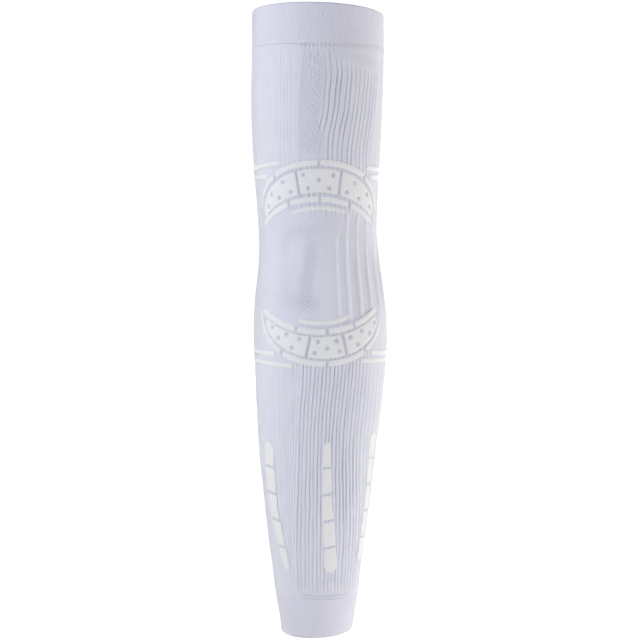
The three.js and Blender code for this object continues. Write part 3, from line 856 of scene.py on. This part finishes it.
def build_tube(material):
    """The ribbed tube between the cuffs"""
    top = CUFFS["upper_cuff"]["seam"] - SEAM_GAP / 2
    bottom = CUFFS["wrist_cuff"]["seam"] + SEAM_GAP / 2
    columns, rows, patches = tube_grid(top, bottom)
    inner = np.linspace(bottom, top, INNER_ROWS)
    heights = np.concatenate([rows, inner])
    height, column = (grid.reshape(-1) for grid in np.meshgrid(heights, columns, indexing="ij"))
    inside = np.arange(len(height)) >= len(rows) * len(columns)
    for in_rows, in_columns, cuts in patches:
        steps = np.arange(1, cuts) / cuts
        fine = rows[in_rows[:-1], None] + np.diff(rows[in_rows])[:, None] * steps
        extra_height, extra_column = np.meshgrid(fine.reshape(-1), columns[in_columns], indexing="ij")
        height = np.append(height, extra_height)
        column = np.append(column, extra_column)
    inside = np.append(inside, np.zeros(len(height) - len(inside), bool))
    angle = stitch_angle(column, height)
    seam = seam_lift(angle, height, top, bottom)
    depth = rib_relief(column, height, LIP_RISE, 0) + broad_depth(column, height)
    # pits and streaks, sunk into the knit and also painted dark
    pits_painted_dark = np.maximum(band_pits(column, height), panel_streaks(column, height))
    relief = lone_rib(column, height) + seam - depth - PIT_DEPTH * pits_painted_dark
    lift = np.where(inside, -KNIT_THICKNESS, relief)
    faces = refined_faces(len(heights), len(columns), patches)
    mesh = new_mesh("arm_tube_knit", skin(angle, height, lift) * MM, faces, material)
    set_knit_uv(mesh, column, height)
    # painted shade where the knit turns in at the seams, in the eyelets and in the wrist's groove, added to
    # the ribs' painted shading
    shade = rib_painted_shading(column, height) + np.maximum(0, -seam) / UPPER_DEPTH
    set_attribute(mesh, "painted_shading", np.where(inside, 0, shade))
    set_attribute(mesh, "pits_painted_dark", np.where(inside, 0, pits_painted_dark))
    return add_piece(mesh, "arm_tube")


def build_cuff(node, material):
    """A doubled cuff from its seam to its rolled rim"""
    cuff = CUFFS[node]
    outward = math.copysign(1, cuff["rim"] - cuff["seam"])
    start = cuff["seam"] + outward * SEAM_GAP / 2
    columns = np.arange(CUFF_COLUMNS) * 360 / CUFF_COLUMNS - 180
    turn = np.radians(columns)
    rim = cuff["rim"] + cuff["front_rise"] * np.cos(turn) + cuff["right_rise"] * np.sin(turn)
    length = outward * (rim - start)
    half = CUFF_THICKNESS / 2
    crease = seam_depth(node, columns)
    seam_rows = [(np.full(CUFF_COLUMNS, along), depth * crease) for along, depth in SEAM_PROFILE]
    ease = SEAM_PROFILE[-1][0]
    shares = np.linspace(0, 1, CUFF_ROWS)[1:]
    body_rows = [(ease + (length - ease - half) * share, 0) for share in shares]
    roll = np.linspace(0, math.pi, ROLL_ROWS + 1)[1:]
    roll_rows = [(length - half + half * math.sin(a), half * (1 - math.cos(a))) for a in roll]
    shares = np.linspace(1, 0, CUFF_INNER_ROWS + 1)[1:]
    inner_rows = [((length - half) * share, CUFF_THICKNESS) for share in shares]
    rows = seam_rows + body_rows + roll_rows + inner_rows
    along = np.array([row[0] for row in rows])
    depth = np.array([np.broadcast_to(row[1], CUFF_COLUMNS) for row in rows])
    height = start + outward * along
    across = columns * DEGREE - TWILL_LEAN * height + waves(TWILL_WAVES, turn, height)
    patchy = 1 - TWILL_PATCHINESS
    patchy += TWILL_PATCHINESS * math.prod(np.sin(a * turn + b * height + c) for a, b, c in TWILL_PATCHES)
    outside = smooth(along, 0, CUFF_EASE) * (depth < half)
    twill = TWILL_DEPTH[node] * np.cos(2 * math.pi * across / TWILL_PITCH) * patchy
    lift = (waves(CUFF_WAVES, turn, height) + twill) * outside - depth
    rings = skin(np.broadcast_to(columns, height.shape), height, lift) * MM
    # painted shade in the twill's low lines and painted light on its raised ones, stored like the tube's
    # painted shading
    tone = TWILL_PAINTED_SHADING * twill * outside
    heights = height.mean(axis=1)
    if outward > 0:
        rings, tone, heights = (rows[::-1] for rows in (rings, tone, heights))
    faces = refined_faces(len(rings), CUFF_COLUMNS, ())
    mesh = new_mesh(f"{node}_knit", rings.reshape(-1, 3), faces, material)
    set_knit_uv(mesh, np.tile(columns, len(rings)), np.repeat(heights, CUFF_COLUMNS))
    set_attribute(mesh, "painted_shading", -tone)
    return add_piece(mesh, node)


def softened(outline, reach):
    """Closed outline at even steps, with its corners rounded by averaging over a short reach"""
    loop = np.vstack([outline, outline[:1]])
    lengths = np.concatenate([[0], np.cumsum(np.linalg.norm(np.diff(loop, axis=0), axis=1))])
    count = round(lengths[-1] / OUTLINE_STEP)
    at = np.arange(count) * lengths[-1] / count
    even = np.stack([np.interp(at, lengths, loop[:, axis]) for axis in (0, 1)], axis=1)
    half = max(1, round(reach / 2 / OUTLINE_STEP))
    return np.mean([np.roll(even, shift, axis=0) for shift in range(-half, half + 1)], axis=0)


def leftward(run):
    """Unit vectors to the left of flat vectors"""
    run = run / np.linalg.norm(run, axis=1, keepdims=True)
    return np.stack([-run[:, 1], run[:, 0]], axis=1)


def inset(loop, distance):
    """The points of a loop moved to its left"""
    return loop + distance * leftward(np.roll(loop, -1, axis=0) - np.roll(loop, 1, axis=0))


def inside(points, loops):
    """Which points lie inside an outline, the first of the loops, and outside its holes, the others"""
    x, y = points[:, 0, None], points[:, 1, None]
    crossings = 0
    for loop in loops:
        x0, y0 = loop.T
        x1, y1 = np.roll(loop, -1, axis=0).T
        rise = np.where(y1 == y0, 1e-9, y1 - y0)
        crossing = ((y0 > y) != (y1 > y)) & (x < x0 + (y - y0) / rise * (x1 - x0))
        crossings = crossings + crossing.sum(axis=1)
    return crossings % 2 == 1


def edge_distance(points, loops):
    edge = np.vstack(loops)
    return np.linalg.norm(points[:, None] - edge[None], axis=2).min(axis=1)


def dot_loop(angle, height):
    """Clockwise loop of a hole, so that its left is the gel round it"""
    turn = -np.arange(DOT_POINTS) * 2 * math.pi / DOT_POINTS
    across = angle * DEGREE + DOT_RADIUS * np.cos(turn)
    return np.stack([across, height + DOT_RADIUS * np.sin(turn)], axis=1)


def triangulated(loops):
    """Flat triangles inside an outline and outside its holes, with extra rows of points along every edge"""
    low, high = loops[0].min(axis=0), loops[0].max(axis=0)
    across = np.arange(low[0], high[0], GEL_POINT_STEP)
    up = np.arange(low[1], high[1], GEL_POINT_STEP * 0.87)
    grid = np.stack(np.meshgrid(across, up), axis=-1)
    grid[1::2, :, 0] += GEL_POINT_STEP / 2
    rows = [inset(loop, share * GEL_EDGE) for loop in loops for share in GEL_EDGE_ROWS]
    free = np.vstack([*rows, grid.reshape(-1, 2)])
    free = free[inside(free, loops)]
    gap = edge_distance(free, loops)
    keep = gap > GEL_CLEARANCE * GEL_EDGE
    for share in GEL_EDGE_ROWS:
        keep |= np.isclose(gap, share * GEL_EDGE, atol=GEL_ROW_TOLERANCE)
    free = free[keep]
    points, edges = np.vstack([*loops, free]), []
    for loop in loops:
        first = edges[-1][0] + 1 if edges else 0
        edges += [(first + i, first + (i + 1) % len(loop)) for i in range(len(loop))]
    flat, _, faces, *_ = delaunay_2d_cdt(points.tolist(), edges, [], 1, 1e-5, False)
    flat = np.array([tuple(p) for p in flat])
    faces = np.array(faces)
    return flat, faces[inside(flat[faces].mean(axis=1), loops)]


def gel_mesh(name, outline, holes, material):
    """Thin gel support with a sloping edge, bent round the arm"""
    loops = [inset(outline, -GEL_GROW), *holes]
    flat, faces = triangulated(loops)
    gap = edge_distance(flat, loops)
    rounded = GEL_WALL + (1 - GEL_WALL) * smooth(gap, -0.4 * GEL_EDGE, GEL_EDGE)
    angle, height = flat[:, 0] / DEGREE, flat[:, 1]
    column = stitch_column(angle, height)
    foot = GEL_FOOT - broad_depth(column, height)
    thick = (GEL_TOP - GEL_FOOT) * rounded
    depth = rib_relief(column, height, LIP_RISE, 0)
    top = foot + np.maximum(thick - np.minimum(GEL_DIP * depth, 0.5 * thick), GEL_FOOT - depth)
    points = np.vstack([skin(angle, height, top), skin(angle, height, foot)]) * MM
    sides = np.vstack([faces[:, [0, 1]], faces[:, [1, 2]], faces[:, [2, 0]]])
    known = {tuple(side) for side in sides.tolist()}
    rim = [(a, b) for a, b in known if (b, a) not in known]
    count = len(flat)
    walls = [(b, a, a + count, b + count) for a, b in sorted(rim)]
    underside = faces[:, ::-1] + count
    return new_mesh(name, points, faces.tolist() + underside.tolist() + walls, material)


def add_gel(node, outline, corner, material, holes=()):
    loops = [dot_loop(*hole) for hole in holes]
    mesh = gel_mesh(f"{node}_gel", softened(outline, corner), loops, material)
    mesh.set_sharp_from_angle(angle=math.radians(GEL_SHARP))
    return add_piece(mesh, node)


def ribbon(line, width):
    """Outline of a bar along a line of angles and heights from left to right"""
    flat = np.asarray(line) * (DEGREE, 1)
    side = leftward(np.gradient(flat, axis=0)) * width / 2
    return np.vstack([flat - side, (flat + side)[::-1]])


def curve_line(side, curve, start, end):
    """Points of a crescent's curve between two angles, closer together where an ellipse turns down"""
    angle = np.linspace(start, end, CURVE_POINTS)
    if "reach" in curve:
        limits = np.arcsin((np.array([start, end]) - curve["centre"]) / curve["reach"])
        angle = curve["centre"] + curve["reach"] * np.sin(np.linspace(*limits, CURVE_POINTS))
    return np.stack([angle, side * (curve["apex"] - curve_drop(curve, angle))], axis=1)


def spans(ends):
    """Pairs of angles between neighbouring ends, with a gap at each split"""
    half = BAR_GAP / 2 / DEGREE
    starts = [ends[0], *(split + half for split in ends[1:-1])]
    stops = [*(split - half for split in ends[1:-1]), ends[-1]]
    return list(zip(starts, stops))


def build_bars(name, part, widths, material):
    crescent = CRESCENTS[name]
    curve = crescent[part]
    for i, (start, end) in enumerate(spans(curve["ends"])):
        node = f"{name}_{part}_{i + 1}" if len(widths) > 1 else f"{name}_{part}"
        outline = ribbon(curve_line(crescent["side"], curve, start, end), widths[i])
        add_gel(node, outline, BAR_CORNER, material)


def build_pads(name, material):
    crescent = CRESCENTS[name]
    outer, inner = crescent["pad_outer"], crescent["pad_inner"]
    places = zip(("left", "centre", "right"), spans(outer["ends"]), spans(inner["ends"]))
    for place, outer_span, inner_span in places:
        far = curve_line(crescent["side"], outer, *outer_span)
        near = curve_line(crescent["side"], inner, *inner_span)
        lower, upper = (near, far) if crescent["side"] > 0 else (far, near)
        outline = np.vstack([lower, upper[::-1]]) * (DEGREE, 1)
        node = f"{name}_pad_{place}"
        pad = add_gel(node, outline, PAD_CORNER, material, DOTS[node])


def build_side_bars(name, material):
    for i, (start, end) in enumerate(SIDE_BARS[name]):
        line = np.linspace(start, end, SIDE_BAR_POINTS)
        add_gel(f"{name}_side_{i + 1}", ribbon(line, THIN_BAR_WIDTH), BAR_CORNER, material)


def build_strip(name, material):
    """A strip of five segments down the forearm, with its two ends rounded off"""
    strip = STRIPS[name]
    for segment in range(STRIP_SEGMENTS):
        down = segment * (SEGMENT_LENGTH + SEGMENT_GAP) + np.linspace(0, SEGMENT_LENGTH, CURVE_POINTS)
        height = strip["top"] - down
        middle, half = strip_course(strip, height)
        from_end = np.clip(np.minimum(down, STRIP_LENGTH - down) / STRIP_END_LENGTH, 0, 1)
        half = half * (STRIP_END_SHARE + (1 - STRIP_END_SHARE) * np.sqrt(from_end))
        tilt = strip["slant"] * half * DEGREE
        left = np.stack([(middle - half) * DEGREE, height - tilt], axis=1)
        right = np.stack([(middle + half) * DEGREE, height + tilt], axis=1)
        add_gel(f"strip_{name}_{segment + 1}", np.vstack([left, right[::-1]]), BAR_CORNER, material)


class Shader:
    """Builds one material's nodes in few words"""

    def __init__(self, name):
        self.material = bpy.data.materials.new(name)
        self.material.use_nodes = True
        self.tree = self.material.node_tree
        self.bsdf = self.tree.nodes["Principled BSDF"]
        self.place = self.node("ShaderNodeTexCoord").outputs["Object"]

    def node(self, kind, inputs=(), **settings):
        made = self.tree.nodes.new(kind)
        for key, value in settings.items():
            setattr(made, key, value)
        for socket, value in dict(inputs).items():
            self.set(made.inputs[socket], value)
        return made

    def set(self, socket, value):
        if isinstance(value, bpy.types.NodeSocket):
            self.tree.links.new(value, socket)
        else:
            socket.default_value = value

    def math(self, operation, a, b=0.0, c=0.0):
        return self.node("ShaderNodeMath", {0: a, 1: b, 2: c}, operation=operation).outputs[0]

    def noise(self, scale, detail):
        inputs = {"Vector": self.place, "Scale": scale, "Detail": detail}
        return self.node("ShaderNodeTexNoise", inputs).outputs["Fac"]

    def bump(self, height, strength, distance):
        inputs = {"Strength": strength, "Distance": distance, "Height": height}
        return self.node("ShaderNodeBump", inputs).outputs[0]

    def mix(self, share, a, b):
        made = self.node("ShaderNodeMix", {"Factor": share}, data_type="RGBA")
        first, second = (socket for socket in made.inputs if socket.type == "RGBA")
        self.set(first, a)
        self.set(second, b)
        return next(socket for socket in made.outputs if socket.type == "RGBA")

    def finished(self, inputs):
        for socket, value in inputs.items():
            self.set(self.bsdf.inputs[socket], value)
        return self.material


def knit_material(name, colour, shade, wales, courses):
    """Fine jersey: two yarn tones and V-shaped stitches, with painted shade in the mesh's grooves, gaps and
    pits and between stitches, and painted light on crests and stitch legs
    """
    shader = Shader(name)
    uv = shader.node("ShaderNodeUVMap", uv_map="knit").outputs["UV"]
    parts = shader.node("ShaderNodeSeparateXYZ", {0: uv})
    wale = shader.math("MULTIPLY", parts.outputs[0], wales)
    course = shader.math("MULTIPLY", parts.outputs[1], courses)
    off_middle = shader.math("ABSOLUTE", shader.math("SUBTRACT", shader.math("FRACT", wale), 0.5))
    slanted = shader.math("MULTIPLY_ADD", off_middle, STITCH_SLANT, course)
    legs = shader.math("COSINE", shader.math("MULTIPLY", slanted, 2 * math.pi))
    legs = shader.math("MULTIPLY", legs, STITCH_LEGS)
    trough = shader.math("POWER", shader.math("MULTIPLY", off_middle, 2.0), 2.0)
    stitch = shader.math("MULTIPLY_ADD", trough, -STITCH_TROUGH, legs)
    sources = {
        "broad": shader.noise(60.0, 2.0),
        "melange": shader.noise(1200.0, 1.0),
        "painted_shading": shader.node("ShaderNodeAttribute", attribute_name="painted_shading").outputs["Fac"],
        "pits_painted_dark": shader.node("ShaderNodeAttribute", attribute_name="pits_painted_dark").outputs["Fac"],
        "stitch": stitch,
    }
    tone = 0.0
    for source, share in KNIT_TONES.items():
        tone = shader.math("MULTIPLY_ADD", sources[source], share, tone)
    return shader.finished({
        "Base Color": shader.mix(tone, (*colour, 1), (*shade, 1)),
        "Roughness": shader.math("MULTIPLY_ADD", sources["melange"], 0.12, 0.82),
        "Specular IOR Level": 0.2,
        "Sheen Weight": 0.9,
        "Sheen Roughness": 0.4,
        "Normal": shader.bump(stitch, 0.35, 0.0003),
    })


def gel_material():
    """Satin silicone with a faint cloud and grain"""
    shader = Shader("satin_gel")
    cloud = shader.noise(120.0, 3.0)
    grain = shader.noise(800.0, 2.0)
    tone = shader.math("MULTIPLY", shader.math("ADD", cloud, grain), 0.5)
    return shader.finished({
        "Base Color": shader.mix(tone, *GEL_COLOURS),
        "Roughness": shader.math("MULTIPLY_ADD", cloud, 0.15, 0.65),
        "Specular IOR Level": 0.03,
        "Normal": shader.bump(grain, 0.12, 0.0002),
    })


def stage_material():
    """Pale studio paper with a trace of tone"""
    shader = Shader("studio_paper")
    return shader.finished({
        "Base Color": shader.mix(shader.noise(0.7, 2.0), *PAPER_COLOURS),
        "Roughness": 0.9,
        "Emission Color": (1, 1, 1, 1),
        "Emission Strength": 1.0,
    })


def build_stage():
    """Round floor that sweeps up into a backdrop on every side, far from the arm"""
    turn = np.linspace(0, math.pi / 2, SWEEP_POINTS)
    radius = np.concatenate([[STAGE_HOLE], STAGE_RADIUS + STAGE_SWEEP * (np.sin(turn) - 1), [STAGE_RADIUS]])
    height = np.concatenate([[FLOOR_HEIGHT], FLOOR_HEIGHT + STAGE_SWEEP * (1 - np.cos(turn)), [STAGE_TOP]])
    round_arm = np.arange(STAGE_SIDES) * 2 * math.pi / STAGE_SIDES
    points = [(r * math.sin(a), r * math.cos(a), z) for r, z in zip(radius, height) for a in round_arm]
    faces = refined_faces(len(radius), STAGE_SIDES, ())[:(len(radius) - 1) * STAGE_SIDES]
    stage = linked("studio_sweep", new_mesh("studio_sweep", np.array(points), faces, stage_material()))
    stage.visible_diffuse = False
    stage.visible_glossy = False
    stage.visible_shadow = False


def add_softbox(name, azimuth, elevation, power, colour):
    """Square light that faces the arm and doesn't show in the picture"""
    light = bpy.data.lights.new(name, "AREA")
    light.size = SOFTBOX_SIZE
    light.energy = power
    light.color = colour
    softbox = linked(name, light)
    round_arm, up = math.radians(azimuth), math.radians(elevation)
    toward = Vector((math.sin(round_arm) * math.cos(up), -math.cos(round_arm) * math.cos(up), math.sin(up)))
    softbox.location = SOFTBOX_DISTANCE * toward
    softbox.rotation_euler = (-toward).to_track_quat("-Z", "Y").to_euler()
    softbox.visible_camera = False


def build_lights():
    world = bpy.data.worlds.new("studio")
    world.use_nodes = True
    background = world.node_tree.nodes["Background"]
    background.inputs["Color"].default_value = WORLD_COLOUR
    background.inputs["Strength"].default_value = WORLD_STRENGTH
    bpy.context.scene.world = world
    for name, softbox in SOFTBOXES.items():
        add_softbox(name, *softbox)


def build_camera():
    camera_data = bpy.data.cameras.new("camera")
    camera_data.sensor_width = SENSOR
    camera_data.lens = SENSOR * CAMERA_DISTANCE / (PICTURE * PIXEL)
    camera = linked("camera", camera_data)
    camera.location = (0, -CAMERA_DISTANCE, CAMERA_HEIGHT)
    camera.rotation_euler = (math.pi / 2, 0, 0)
    bpy.context.scene.camera = camera


build_camera()
build_stage()
build_lights()
bpy.context.scene.view_settings.view_transform = "Standard"

rib_knit, cuff_knit = (knit_material(name, *KNITS[name]) for name in ("rib_knit", "cuff_knit"))
gel = gel_material()

knits = {"arm_tube": build_tube(rib_knit)}
for cuff_node in CUFFS:
    knits[cuff_node] = build_cuff(cuff_node, cuff_knit)
for crescent_name in CRESCENTS:
    build_bars(crescent_name, "outer", (THIN_BAR_WIDTH, BAR_WIDTH, BAR_WIDTH, THIN_BAR_WIDTH), gel)
    build_pads(crescent_name, gel)
    build_bars(crescent_name, "inner", (BAR_WIDTH,) * 4, gel)
    build_bars(crescent_name, "arc", (THIN_BAR_WIDTH,), gel)
    build_side_bars(crescent_name, gel)
for strip_name in STRIPS:
    build_strip(strip_name, gel)
